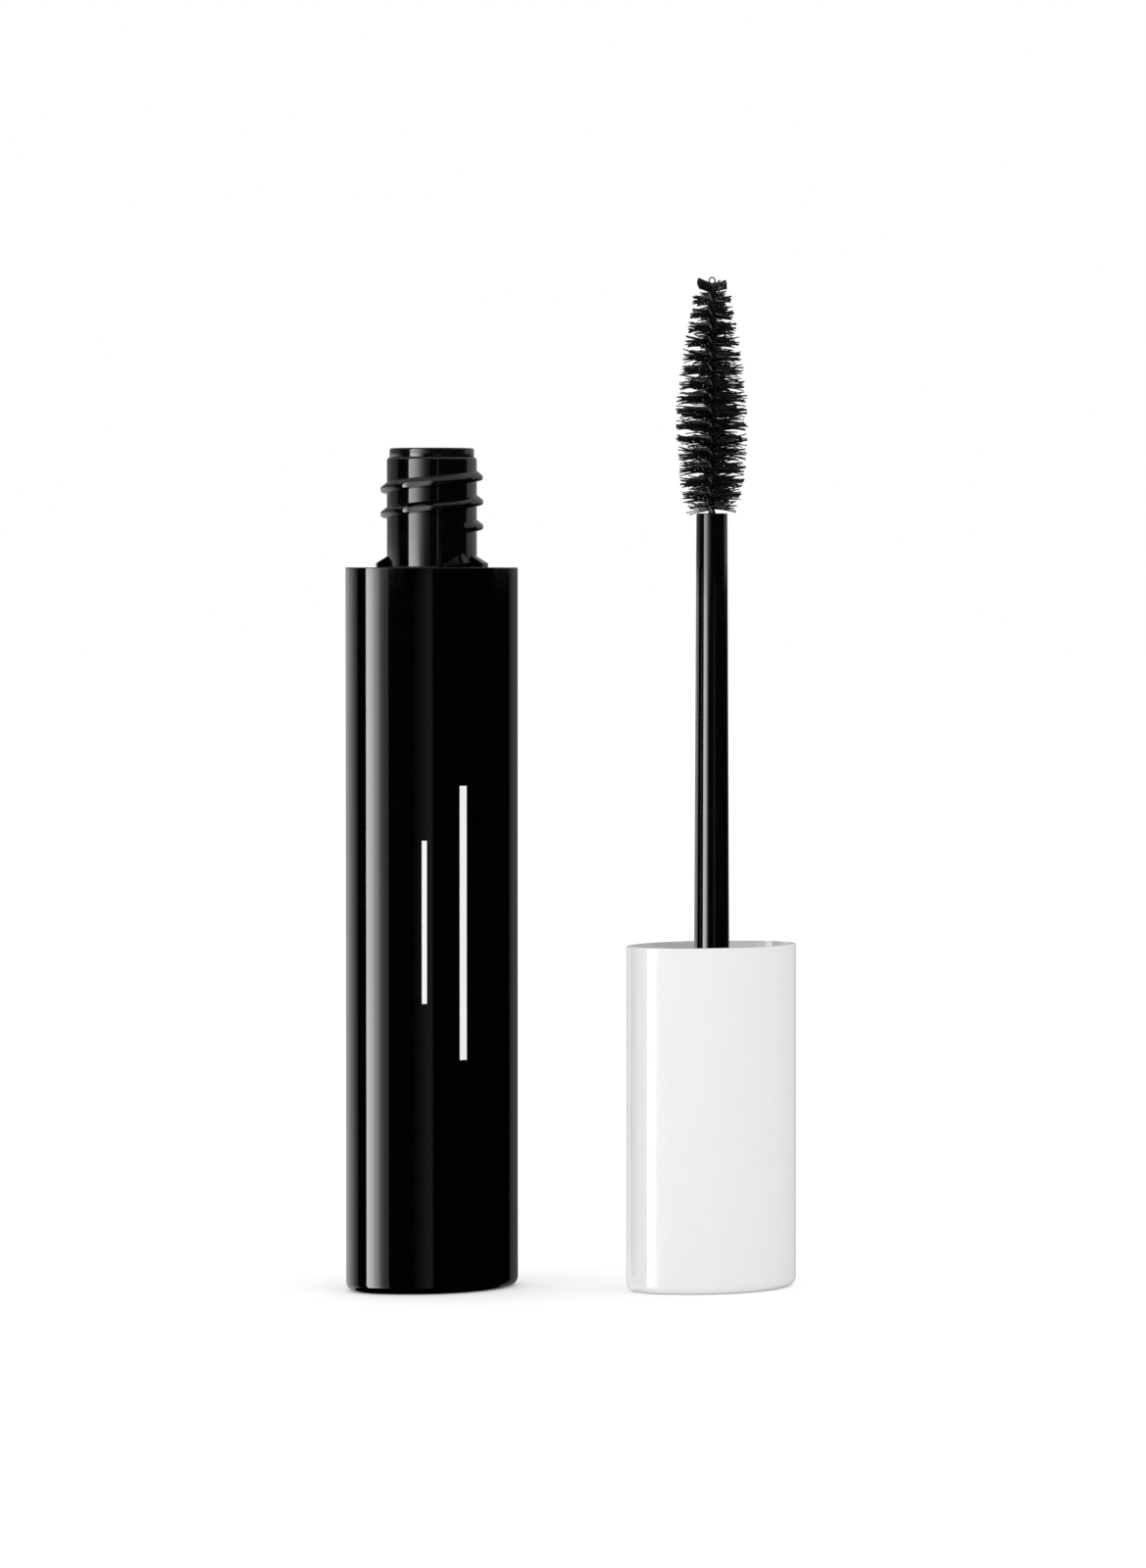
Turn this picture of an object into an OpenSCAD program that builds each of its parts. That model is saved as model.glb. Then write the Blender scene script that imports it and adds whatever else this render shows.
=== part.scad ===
// Mascara tube with its cap standing open beside it: a bottle with a threaded neck and a wiper,
// and a cap that carries the stem and the twisted-wire brush.
// The bottle's axis is Z and its base is at z = 0. The cap stands beside it on its closed end.

/* [Oval outline] */
// Half the long side of the oval section
oval_half_long = 10.1; // [9.6:0.1:11]
// Half the short side of the oval section
oval_half_short = 7.0; // [6.9:0.1:7.6]
// Radius of the small arcs at the two ends of the oval
oval_end_r = 4.6; // [3:0.1:5]

/* [Bottle] */
// Height of the oval body, from the base to the shoulder
body_h = 79; // [70:1:95]
// Wall of the outer sleeve
sleeve_wall = 1.1; // [0.9:0.1:1.1]
// Thickness of the sleeve's shoulder
shoulder_t = 1.2; // [0.8:0.1:2]
// Thickness of the plug that closes the sleeve's base
base_plug_t = 2.0; // [1.5:0.1:3]
// Outer radius of the vial's body
vial_r = 5.75; // [5.5:0.05:5.75]
// Wall of the vial's body
vial_wall = 0.85; // [0.6:0.05:1]
// Thickness of the vial's floor
vial_floor = 1.2; // [0.8:0.1:2]
// Thickness of the layer of mascara left on the vial's wall
formula_t = 0.5; // [0.3:0.1:0.6]

/* [Neck] */
// Outer radius of the neck between the threads
neck_r = 4.92; // [4.8:0.02:5]
// Height of the neck above the shoulder, without the wiper's flange
neck_h = 12.0; // [11:0.1:14]
// Radius of the neck's bore, which the wiper is pushed into
neck_bore_r = 3.75; // [3.6:0.05:3.8]
// Radius of the flange at the foot of the neck
flange_r = 6.15; // [6:0.05:6.15]
// Height of the flange's straight edge
flange_edge_h = 0.5; // [0.3:0.1:0.8]
// Height of the sloped top of the flange where it meets the neck
flange_top_h = 1.1; // [0.9:0.1:1.3]
// Height above the shoulder of the two stops that end the cap's last turn
stop_h = 1.6; // [1.4:0.1:1.6]

/* [Thread] */
// Rise of the thread in one turn
pitch = 2.7; // [2.4:0.1:3]
// Radius over the crest of the neck's thread
thread_crest_r = 5.62; // [5.5:0.02:5.62]
// Turns of thread on the neck
neck_turns = 2.1; // [1.5:0.1:2.2]
// Height above the shoulder where the neck's thread starts
thread_start_h = 4.4; // [4.3:0.1:5]

/* [Wiper] */
// Radius of the wiper's flange, which sits on the end of the neck
wiper_flange_r = 4.7; // [4.5:0.1:4.8]
// Thickness of the wiper's flange
wiper_flange_t = 1.0; // [0.8:0.1:1.2]
// Radius of the wiper's throat
wiper_throat_r = 3.1; // [3:0.05:3.1]
// Radius of the hole that wipes the stem and the brush
wiper_hole_r = 2.0; // [2:0.01:2.1]
// Depth of the wiper below the end of the neck
wiper_depth = 11.2; // [9:0.1:12]

/* [Cap] */
// Height of the cap
cap_h = 37.7; // [34:0.1:42]
// Wall of the cap's shell
cap_wall = 0.7; // [0.6:0.05:0.7]
// Thickness of the cap's closed end
cap_end_t = 1.6; // [1.2:0.1:2.5]
// Gap between the cap's rim and the shoulder when the cap is screwed home
rim_gap = 0.1; // [0.1:0.05:0.3]
// Outer radius of the threaded liner inside the cap
liner_r = 6.25; // [6.2:0.05:6.25]
// Inner radius of the liner between its threads
liner_bore_r = 5.8; // [5.8:0.01:5.85]
// Radius inside the crest of the liner's thread
liner_crest_r = 5.14; // [5.1:0.02:5.2]
// Turns of thread in the liner
liner_turns = 1.8; // [1:0.1:1.8]
// Thickness of the liner's end wall
liner_end_t = 1.2; // [1:0.1:2]
// Thickness of the liner's oval collar, which closes the cap's mouth round the bore
collar_t = 1.2; // [1.1:0.1:2]
// Thickness of the floating seal on the stem
seal_t = 0.76; // [0.6:0.02:0.8]
// Outer radius of the floating seal
seal_r = 4.4; // [4.2:0.1:4.6]

/* [Wand] */
// Length of stem that shows outside the cap
stem_out = 47.2; // [44:0.1:50]
// Length of stem held inside the cap
stem_in = 23; // [20:0.5:26]
// Radius of the stem inside the cap
stem_root_r = 1.93; // [1.9:0.01:1.95]
// Radius of the stem at the brush
stem_tip_r = 1.7; // [1.6:0.01:1.8]
// Radius of one strand of the brush's twisted wire
wire_r = 0.24; // [0.2:0.01:0.25]
// Length of wire held inside the stem
wire_in = 8; // [6:0.5:12]
// Length of the brush outside the stem
brush_l = 25.8; // [24:0.1:28]
// Largest radius of the brush
brush_max_r = 4.07; // [3.8:0.01:4.2]
// Radius of the brush beside the stem
brush_root_r = 3.0; // [2.6:0.1:3.4]
// Radius of the brush at its tip
brush_tip_r = 1.6; // [1.4:0.1:1.65]

/* [Layout] */
// Distance between the bottle's axis and the standing cap's axis
stand_apart = 30.6; // [28:0.1:34]
// Angle of the standing cap's place, clockwise from the long side of the bottle
stand_angle = 30; // [25:1:35]

/* [Hidden] */
$fn = 96;

// clearances
slip = 0.05;     // between pieces that slide or turn on each other
touch = 0.02;    // between pieces that are pressed together
eps = 0.01;      // overshoot of a cut

// the two large arcs of the oval, which run smoothly into the small end arcs
end_x = oval_half_long - oval_end_r;
side_r = (pow(end_x, 2) + pow(oval_half_short, 2) - pow(oval_end_r, 2))
         / (2 * (oval_half_short - oval_end_r));
side_y = side_r - oval_half_short;
join_angle = atan2(side_y, end_x);

// heights on the bottle
vial_base_z = base_plug_t + 1;
neck_end_z = body_h + neck_h;
wiper_top_z = neck_end_z + wiper_flange_t;
neck_shoulder_z = body_h - 2.4;
formula_top_z = 70;

// the wand channel that the brush leaves in the mascara
channel_r = vial_r - vial_wall - formula_t - slip;

// heights in the cap, measured from its rim towards its closed end
rim_z = body_h + rim_gap;
seal_home_z = wiper_top_z - rim_z + touch;
liner_end_z = seal_home_z + seal_t + touch;
liner_foot_z = stop_h + 0.15 - rim_gap;
socket_r = stem_root_r + 1.5;
socket_top_z = stem_in + 1.2;
key_t = 1.2;
key_top_z = 12;

// screwing the cap home: its turns bring the two ovals into line, and its travel is one pitch a turn
home_turn = 900 - 2 * stand_angle;
home_travel = home_turn / 360 * pitch;

// thread ridge: half its width at the root and at the crest, and how far its root is sunk in the wall
ridge_root = 0.5;
ridge_crest = 0.24;
ridge_sink = 0.2;
ridge_step = 12;

// stops on the flange and the lugs in the cap that meet them
stop_face_angle = -79;
stop_ramp = 34;
ramp_steps = 6;
lug_span = 14;
lug_gap = 1;

// brush
brush_pitch = 3.1;
row_t = 0.5;
row_root_r = 2 * wire_r + 0.06;
row_step = 24;
strand_step = 30;
strand_sides = 6;
tuft_l = 1.7;
swell_at = 11;

// Points of an arc, from angle a0 to a1
function arc(cx, cy, r, a0, a1, n) =
    [for (i = [0:n]) let (a = a0 + (a1 - a0) * i / n) [cx + r * cos(a), cy + r * sin(a)]];

// The oval outline, drawn inwards by inset: an end arc, a side arc, the other end arc and the other side arc
function oval_points(inset) =
    let (re = oval_end_r - inset, rs = side_r - inset, j = join_angle, n_end = 14, n_side = 16)
    concat(arc(end_x, 0, re, -j, j, n_end),
           arc(0, -side_y, rs, j + (180 - 2 * j) / n_side, 180 - j, n_side - 1),
           arc(-end_x, 0, re, 180 - j + 2 * j / n_end, 180 + j, n_end - 1),
           arc(0, side_y, rs, 180 + j + (180 - 2 * j) / n_side,
               360 - j - (180 - 2 * j) / n_side, n_side - 2));

module oval_prism(inset, z0, z1) {
    translate([0, 0, z0])
        linear_extrude(height = z1 - z0)
            polygon(oval_points(inset));
}

// Closed strip swept along a helix: rings is a list of cross-sections,
// each a list of points in the same order
module swept(rings) {
    n = len(rings);
    m = len(rings[0]);
    sides = [for (i = [0:n - 2], k = [0:m - 1]) let (k2 = (k + 1) % m)
                 each [[i * m + k, i * m + k2, (i + 1) * m + k2],
                       [i * m + k, (i + 1) * m + k2, (i + 1) * m + k]]];
    first_end = [for (k = [1:m - 2]) [0, k + 1, k]];
    last_end = [for (k = [1:m - 2]) [(n - 1) * m, (n - 1) * m + k, (n - 1) * m + k + 1]];
    polyhedron(points = [for (ring = rings) each ring], faces = concat(sides, first_end, last_end));
}

function on_axis(r, a, z) = [r * cos(a), r * sin(a), z];

// Right-hand thread ridge from root_r to crest_r, starting at height z0 and angle a0, tapered at both ends
module thread_ridge(root_r, crest_r, z0, a0, turns) {
    steps = ceil(turns * 360 / ridge_step);
    rings = [for (i = [0:steps])
        let (t = turns * i / steps,
             a = a0 + 360 * t,
             z = z0 + pitch * t,
             lead_in = min(1, min(i, steps - i) / 3),
             top = root_r + (crest_r - root_r) * max(lead_in, 0.15))
        [on_axis(root_r - ridge_sink * sign(crest_r - root_r), a, z - ridge_root),
         on_axis(top, a, z - ridge_crest),
         on_axis(top, a, z + ridge_crest),
         on_axis(root_r - ridge_sink * sign(crest_r - root_r), a, z + ridge_root)]];
    if (crest_r > root_r)
        swept(rings);
    else
        swept([for (ring = rings) [for (k = [3:-1:0]) ring[k]]]);
}

// Sector of a ring, from angle a0 to a1
module ring_sector(r0, r1, z0, z1, a0, a1) {
    translate([0, 0, z0])
        linear_extrude(height = z1 - z0)
            polygon(concat(arc(0, 0, r1, a0, a1, 6), arc(0, 0, r0, a1, a0, 6)));
}

// Everything that belongs to the cap is drawn with its rim at z = 0 and its closed end up,
// and this turns it over and stands it beside the bottle
module stand_beside() {
    translate([stand_apart * cos(stand_angle), -stand_apart * sin(stand_angle), cap_h])
        rotate([180, 0, 0])
            children();
}

module outer_sleeve() {
    color("black")
        difference() {
            oval_prism(0, 0, body_h);
            oval_prism(sleeve_wall, -eps, body_h - shoulder_t);
            translate([0, 0, body_h - shoulder_t - 1])
                cylinder(r = vial_r + slip, h = shoulder_t + 2);
        }
}

module base_plug() {
    color("black")
        union() {
            oval_prism(sleeve_wall + touch, 0, base_plug_t);
            difference() {
                translate([0, 0, base_plug_t - 0.2])
                    cylinder(r = vial_r - 1, h = vial_base_z - base_plug_t + 0.2 - touch);
                translate([0, 0, base_plug_t])
                    cylinder(r = vial_r - 2, h = 2);
            }
        }
}

module neck_stop(a) {
    for (i = [0:ramp_steps - 1])
        ring_sector(neck_r - 0.2, flange_r - 0.15, body_h + 0.1,
                    body_h + flange_top_h + (stop_h - flange_top_h) * (i + 1) / ramp_steps,
                    a - stop_ramp + stop_ramp * i / ramp_steps, a + (i == ramp_steps - 1 ? 0 : 0.5));
}

module vial() {
    color("black")
        union() {
            difference() {
                union() {
                    translate([0, 0, vial_base_z])
                        cylinder(r = vial_r, h = body_h - vial_base_z + flange_edge_h / 2);
                    translate([0, 0, body_h])
                        cylinder(r = flange_r, h = flange_edge_h);
                    translate([0, 0, body_h + flange_edge_h])
                        cylinder(r1 = flange_r, r2 = neck_r + 0.1, h = flange_top_h - flange_edge_h);
                    translate([0, 0, body_h])
                        cylinder(r = neck_r, h = neck_h);
                    neck_stop(stop_face_angle);
                    neck_stop(stop_face_angle + 180);
                }
                translate([0, 0, vial_base_z + vial_floor])
                    cylinder(r = vial_r - vial_wall, h = neck_shoulder_z - vial_base_z - vial_floor);
                translate([0, 0, neck_shoulder_z - eps])
                    cylinder(r = neck_bore_r, h = neck_end_z - neck_shoulder_z + 1);
            }
            thread_ridge(neck_r, thread_crest_r, body_h + thread_start_h, -60, neck_turns);
        }
}

module wiper() {
    color("dimgray")
        translate([0, 0, neck_end_z - wiper_depth])
            rotate_extrude()
                polygon([[wiper_hole_r, 0], [wiper_hole_r + 0.5, 0], [neck_bore_r - touch, 2.6],
                         [neck_bore_r - touch, wiper_depth], [wiper_flange_r, wiper_depth],
                         [wiper_flange_r, wiper_depth + wiper_flange_t],
                         [wiper_throat_r, wiper_depth + wiper_flange_t],
                         [wiper_throat_r, 3.4], [wiper_hole_r, 0.6]]);
}

module formula() {
    z0 = vial_base_z + vial_floor;
    color("black")
        difference() {
            translate([0, 0, z0 + touch])
                cylinder(r = vial_r - vial_wall - touch, h = formula_top_z - z0);
            translate([0, 0, z0 + 1])
                cylinder(r = channel_r, h = formula_top_z);
        }
}

module cap_shell() {
    color("white")
        stand_beside()
            difference() {
                oval_prism(0, 0, cap_h);
                oval_prism(cap_wall, -eps, cap_h - cap_end_t);
            }
}

module liner_lug(a) {
    ring_sector(liner_bore_r - 0.1, liner_r - 0.1, flange_top_h + 0.1 - rim_gap, liner_foot_z + 0.5,
                a + lug_gap, a + lug_gap + lug_span);
}

module threaded_liner() {
    key_x = oval_half_long - cap_wall - slip;
    color("whitesmoke")
        stand_beside()
            union() {
                difference() {
                    union() {
                        translate([0, 0, liner_foot_z])
                            cylinder(r = liner_r, h = liner_end_z + liner_end_t - liner_foot_z);
                        oval_prism(cap_wall + 2 * slip, liner_foot_z, liner_foot_z + collar_t);
                        translate([0, 0, liner_end_z])
                            cylinder(r = socket_r, h = socket_top_z - liner_end_z);
                        for (side = [0, 180])
                            rotate([0, 0, side])
                                translate([liner_r - 0.2, -key_t / 2, liner_foot_z + 1])
                                    cube([key_x - liner_r + 0.2, key_t, key_top_z]);
                    }
                    translate([0, 0, liner_foot_z - 1])
                        cylinder(r = liner_bore_r, h = liner_end_z - liner_foot_z + 1);
                    translate([0, 0, liner_end_z - 1])
                        cylinder(r = stem_root_r + slip, h = stem_in + slip - liner_end_z + 1);
                }
                liner_lug(stop_face_angle);
                liner_lug(stop_face_angle + 180);
                thread_ridge(liner_bore_r, liner_crest_r, thread_start_h - rim_gap + pitch / 2, -60,
                             liner_turns);
            }
}

module floating_seal() {
    color("gray")
        stand_beside()
            translate([0, 0, seal_home_z - home_travel])
                difference() {
                    cylinder(r = seal_r, h = seal_t);
                    translate([0, 0, -1])
                        cylinder(r = stem_root_r + slip, h = seal_t + 2);
                }
}

module stem() {
    color("black")
        stand_beside()
            difference() {
                union() {
                    cylinder(r = stem_root_r, h = stem_in);
                    translate([0, 0, -stem_out])
                        cylinder(r1 = stem_tip_r, r2 = stem_root_r, h = stem_out);
                }
                translate([0, 0, -stem_out - 1])
                    cylinder(r = 2 * wire_r + slip, h = wire_in + 1.1);
            }
}

// One strand of the folded wire, as a left-hand helix of upright rings
module wire_strand(phase) {
    length = wire_in + brush_l;
    steps = ceil(length / brush_pitch * 360 / strand_step);
    swept([for (i = [0:steps])
        let (s = length * i / steps,
             a = phase + 360 * s / brush_pitch,
             c = on_axis(wire_r, a, wire_in - stem_out - s))
        [for (k = [0:strand_sides - 1]) c + on_axis(wire_r, -360 * k / strand_sides, 0)]]);
}

module wire_core() {
    color("dimgray")
        stand_beside() {
            wire_strand(0);
            wire_strand(180);
        }
}

// Radius of the brush at distance s from the stem
function brush_r(s) =
    s < swell_at
        ? brush_max_r - (brush_max_r - brush_root_r) * pow((swell_at - s) / swell_at, 2)
        : brush_max_r - (brush_max_r - brush_tip_r) * pow((s - swell_at) / (brush_l - swell_at), 1.2);

// One of the two rows of bristles, as a left-hand helical fin around the wire
module bristle_row(phase) {
    first = 0.6;
    last = brush_l - tuft_l - 0.5;
    steps = ceil((last - first) / brush_pitch * 360 / row_step);
    swept([for (i = [0:steps])
        let (s = first + (last - first) * i / steps,
             a = phase + 360 * s / brush_pitch,
             z = -stem_out - s)
        [on_axis(row_root_r, a, z + row_t / 2),
         on_axis(brush_r(s), a, z + row_t / 2),
         on_axis(brush_r(s), a, z - row_t / 2),
         on_axis(row_root_r, a, z - row_t / 2)]]);
}

module bristle_row_a() {
    color("black")
        stand_beside()
            bristle_row(0);
}

module bristle_row_b() {
    color("black")
        stand_beside()
            bristle_row(180);
}

module tip_bristles() {
    color("black")
        stand_beside()
            translate([0, 0, -stem_out - brush_l])
                difference() {
                    cylinder(r = brush_tip_r, h = tuft_l);
                    translate([0, 0, -1])
                        cylinder(r = row_root_r, h = tuft_l + 2);
                }
}

outer_sleeve();
base_plug();
vial();
wiper();
formula();
cap_shell();
threaded_liner();
floating_seal();
stem();
wire_core();
bristle_row_a();
bristle_row_b();
tip_bristles();
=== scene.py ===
"""Mascara tube with its cap standing open beside it: finished shells, threads, brush and materials."""

import math
import random

import bmesh
import bpy
from mathutils import Matrix, Vector


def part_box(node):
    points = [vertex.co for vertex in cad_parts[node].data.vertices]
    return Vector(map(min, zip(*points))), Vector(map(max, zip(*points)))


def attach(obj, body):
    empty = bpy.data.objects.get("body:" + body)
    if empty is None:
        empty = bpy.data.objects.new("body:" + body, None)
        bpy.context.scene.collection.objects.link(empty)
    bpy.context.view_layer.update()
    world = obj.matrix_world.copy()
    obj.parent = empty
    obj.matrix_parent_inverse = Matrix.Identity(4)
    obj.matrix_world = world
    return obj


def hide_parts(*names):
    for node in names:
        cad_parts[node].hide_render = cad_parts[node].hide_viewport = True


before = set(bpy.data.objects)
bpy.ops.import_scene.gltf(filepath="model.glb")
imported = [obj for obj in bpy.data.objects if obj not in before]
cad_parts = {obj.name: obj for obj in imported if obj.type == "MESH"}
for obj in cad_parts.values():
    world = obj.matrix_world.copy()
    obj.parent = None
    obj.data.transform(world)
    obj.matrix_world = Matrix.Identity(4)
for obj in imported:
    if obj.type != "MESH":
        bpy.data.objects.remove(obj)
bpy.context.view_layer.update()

MM = 0.001


def box_mm(node):
    """The two corners of a frame node's box, in millimetres."""
    low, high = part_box(node)
    return low / MM, high / MM


# Everything below is in millimetres until a piece is finished
sleeve_high = box_mm("outer_sleeve")[1]
cap_low, cap_high = box_mm("cap_shell")
stem_high = box_mm("stem")[1]
wiper_low, wiper_high = box_mm("wiper")
vial_low, vial_high = box_mm("vial")
tuft_high = box_mm("tip_bristles")[1]

# Oval section of the sleeve and the cap: two small end arcs and two large side arcs
HALF_LONG = sleeve_high.x
HALF_SHORT = sleeve_high.y
END_R = 4.6
END_X = HALF_LONG - END_R
SIDE_R = (END_X ** 2 + HALF_SHORT ** 2 - END_R ** 2) / (2 * (HALF_SHORT - END_R))
SIDE_Y = SIDE_R - HALF_SHORT
JOIN = math.atan2(SIDE_Y, END_X)
END_STEPS = 30
SIDE_STEPS = 42
ROUND_STEPS = 2 * (END_STEPS + SIDE_STEPS)

# Bottle
BODY_H = sleeve_high.z
SLEEVE_WALL = 1.1
SHOULDER_T = 1.2
BASE_FILLET = 1.0
EDGE_ROUND = 0.12
PLUG_T = 2.0
PLUG_GAP = 0.03
PLUG_ROUND = 0.12
PLUG_RING_R = 4.75
PLUG_RING_BORE = 3.75
PLUG_RING_END = 2.98
VIAL_R = 5.75
VIAL_BORE = 4.9
VIAL_BASE = vial_low.z
VIAL_FLOOR_T = 1.2
VIAL_SHOULDER_T = 2.4
NECK_R = 4.92
NECK_BORE = 3.75
NECK_END = vial_high.z
FLANGE_R = 6.15
FLANGE_EDGE = 0.45
FLANGE_TOP = 1.22
RAMP_TOP = 1.68
RAMP_START = -113
RAMP_END = -76
PLAIN_START = -56
FLANGE_END = -15
SEAM_ANGLE = -110
SEAM_PROUD = 0.12
SEAM_WIDTH = 0.3

# Thread
PITCH = 2.7
CREST_R = 5.62
THREAD_Z = BODY_H + 4.29
THREAD_ANGLE = -74
THREAD_TURNS = 2.15
FLAT_ANGLE = -134
FLAT_HALF = 16

# Wiper
WIPER_R = 4.62
THROAT_R = 3.1
WIPE_R = 2.0

# Printed rules: the long one is on the middle of the front, the short one beside it
LONG_RULE = (25.5, 55.3)
LONG_RULE_WIDTH = 0.85
SHORT_RULE = (31.7, 49.4)
SHORT_RULE_WIDTH = 0.55
SHORT_RULE_X = -4.36
INK_T = 0.04

# Cap, drawn with its rim at z = 0 and its closed end up, then turned over
CAP_H = cap_high.z
CAP_AXIS = (cap_low + cap_high) / 2
CAP_WALL = 0.7
CAP_END = 1.6
LINER_R = 6.25
LINER_BORE = 5.8
LINER_FOOT = 1.65
COLLAR_T = 1.2
LINER_END = 13.7
LINER_THREAD_ANGLE = -60
LINER_THREAD_Z = 5.65
LINER_THREAD_TURNS = 1.8
LUG_ANGLE = -78
LUG_TURN = 14
KEY_WIDTH = 1.2
KEY_LENGTH = 12
KEY_MIDDLE = 7.1
SOCKET_R = 3.43
SEAL_R = 4.4
SEAL_T = 0.76
STEM_R = 1.93
STEM_TIP_R = 1.7
STEM_IN = 23.0
STEM_OUT = stem_high.z - CAP_H
SLIP = 0.05

# Brush, measured upwards from the end of the standing stem
WIRE_R = 0.24
WIRE_IN = 8.0
FOLD_GAP = 1.2
BRUSH_BASE = stem_high.z
BRUSH_L = tuft_high.z - BRUSH_BASE
BRUSH_MAX = 4.07
BRUSH_ROOT = 3.0
BRUSH_TIP = 1.75
SWELL_AT = 11.0
BRUSH_PITCH = 3.05
TWIST_START = 0.4
FIBRE_R = 0.09
FIBRES_PER_TURN = 72
FIBRE_ROOT = 0.12
ROW_START = 0.5
ROW_GAP = 2.0
ROW_ANGLE = -30
TUFT_FIBRES = 70
TUFT_SHORT_FIBRES = 40

# Viewing direction: the camera looks across the long side of the bottle at this angle
VIEW_TURN = math.radians(30)
TO_CAMERA = Vector((-math.sin(VIEW_TURN), -math.cos(VIEW_TURN), 0))
TO_RIGHT = Vector((math.cos(VIEW_TURN), -math.sin(VIEW_TURN), 0))

# Studio, in metres and degrees: the panels change at the shoulder's height, so that the neck has its own
HORIZON = 0.081
PANEL_FOOT = -0.6
PANEL_TOP = 1.0
PANEL_DISTANCE = 0.9
KEY_WATTS = 1.35
KEY_AZIMUTH = -45
KEY_HEIGHT = 0.35
KEY_SIZE = 0.5
OVERHEAD_HALF = 1.6
OVERHEAD_STRENGTH = 0.62
FLOOR_HALF = 4
FLOOR_DROP = 0.00002
FLOOR_TONE = 0.9
FLOOR_GLOW = 0.2

# Camera, in metres, with its lens and sensor in millimetres: a long lens at the height of the shoulder
LENS = 146.9
SENSOR_WIDTH = 36
CAMERA_DISTANCE = 0.7
AIM_HEIGHT = 0.0553
AIM_ASIDE = 0.00012


# ---------------------------------------------------------------- materials

class Finish:
    """A material being built: a shader and short ways to add the nodes that drive it."""

    def __init__(self, name, roughness, ior=1.5, metallic=0.0, specular=0.5):
        self.material = bpy.data.materials.new(name)
        self.material.use_nodes = True
        self.tree = self.material.node_tree
        self.shader = self.tree.nodes["Principled BSDF"]
        self.shader.inputs["Roughness"].default_value = roughness
        self.shader.inputs["IOR"].default_value = ior
        self.shader.inputs["Metallic"].default_value = metallic
        self.shader.inputs["Specular IOR Level"].default_value = specular
        self.place = self.tree.nodes.new("ShaderNodeTexCoord")

    def link(self, output, target):
        """Joins a node's output to an input."""
        self.tree.links.new(output, target)

    def noise(self, per_mm, detail=3.0, roughness=0.5, stretch=(1, 1, 1)):
        """Noise with this many features to a millimetre, stretched along the axes."""
        mapping = self.tree.nodes.new("ShaderNodeMapping")
        mapping.inputs["Scale"].default_value = stretch
        self.link(self.place.outputs["Object"], mapping.inputs["Vector"])
        node = self.tree.nodes.new("ShaderNodeTexNoise")
        node.inputs["Scale"].default_value = per_mm / MM
        node.inputs["Detail"].default_value = detail
        node.inputs["Roughness"].default_value = roughness
        self.link(mapping.outputs["Vector"], node.inputs["Vector"])
        return node.outputs["Fac"]

    def ramp(self, factor, stops):
        """Colour ramp through (place, grey or colour) stops."""
        node = self.tree.nodes.new("ShaderNodeValToRGB")
        for index, (place, tone) in enumerate(stops):
            if index < 2:
                stop = node.color_ramp.elements[index]
                stop.position = place
            else:
                stop = node.color_ramp.elements.new(place)
            colour = tone if isinstance(tone, tuple) else (tone, tone, tone)
            stop.color = (*colour, 1)
        self.link(factor, node.inputs["Fac"])
        return node.outputs["Color"]

    def colour(self, factor, *stops):
        """Base colour from a ramp over this factor."""
        self.link(self.ramp(factor, stops), self.shader.inputs["Base Color"])

    def roughness(self, factor, *stops):
        """Roughness from a ramp over this factor."""
        self.link(self.ramp(factor, stops), self.shader.inputs["Roughness"])

    def bump(self, height, depth_mm, strength=1.0, under=None):
        """Relief of this depth. under is the relief that this one lies on."""
        node = self.tree.nodes.new("ShaderNodeBump")
        node.inputs["Distance"].default_value = depth_mm * MM
        node.inputs["Strength"].default_value = strength
        self.link(height, node.inputs["Height"])
        if under:
            self.link(under, node.inputs["Normal"])
        self.link(node.outputs["Normal"], self.shader.inputs["Normal"])
        return node.outputs["Normal"]


def polished_black():
    """Deep black moulded sleeve, polished, with the slow swell of the mould and a few dust specks."""
    finish = Finish("polished_black", roughness=0.05)
    finish.colour(finish.noise(0.5), (0.3, 0.0003), (0.7, 0.0009))
    finish.roughness(finish.noise(3.0, 6, 0.6), (0.35, 0.035), (0.72, 0.07), (0.8, 0.16))
    swell = finish.bump(finish.noise(0.11, 1), 0.006, 0.5)
    finish.bump(finish.noise(2.2, 2), 0.0004, 0.5, swell)
    return finish.material


def satin_black():
    """Base plug with a fine spark-eroded grain."""
    finish = Finish("satin_black", roughness=0.3)
    finish.colour(finish.noise(4), (0.3, 0.004), (0.7, 0.009))
    finish.roughness(finish.noise(6), (0.3, 0.28), (0.7, 0.4))
    finish.bump(finish.noise(9, 4), 0.01, 0.6)
    return finish.material


def neck_black():
    """Moulded neck: glossy, with a little flow marking and drag round the threads."""
    finish = Finish("neck_black", roughness=0.07)
    finish.colour(finish.noise(0.8), (0.3, 0.0008), (0.7, 0.002))
    finish.roughness(finish.noise(2.5, 5, 0.6, (1, 1, 3)), (0.35, 0.05), (0.7, 0.11), (0.82, 0.2))
    swell = finish.bump(finish.noise(0.3, 1), 0.004, 0.5)
    finish.bump(finish.noise(3, 3, 0.5, (1, 1, 4)), 0.0006, 0.6, swell)
    return finish.material


def wiper_black():
    """Soft wiper: satin, faintly ringed by the tool, with a smear of mascara in patches."""
    finish = Finish("wiper_black", roughness=0.22)
    finish.colour(finish.noise(1.5), (0.35, 0.0015), (0.65, 0.004))
    finish.roughness(finish.noise(1.2, 5), (0.4, 0.09), (0.65, 0.2))
    rings = finish.bump(finish.noise(2, 2, 0.5, (0.2, 0.2, 3)), 0.0008, 0.5)
    finish.bump(finish.noise(5, 4), 0.0005, 0.5, rings)
    return finish.material


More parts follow.
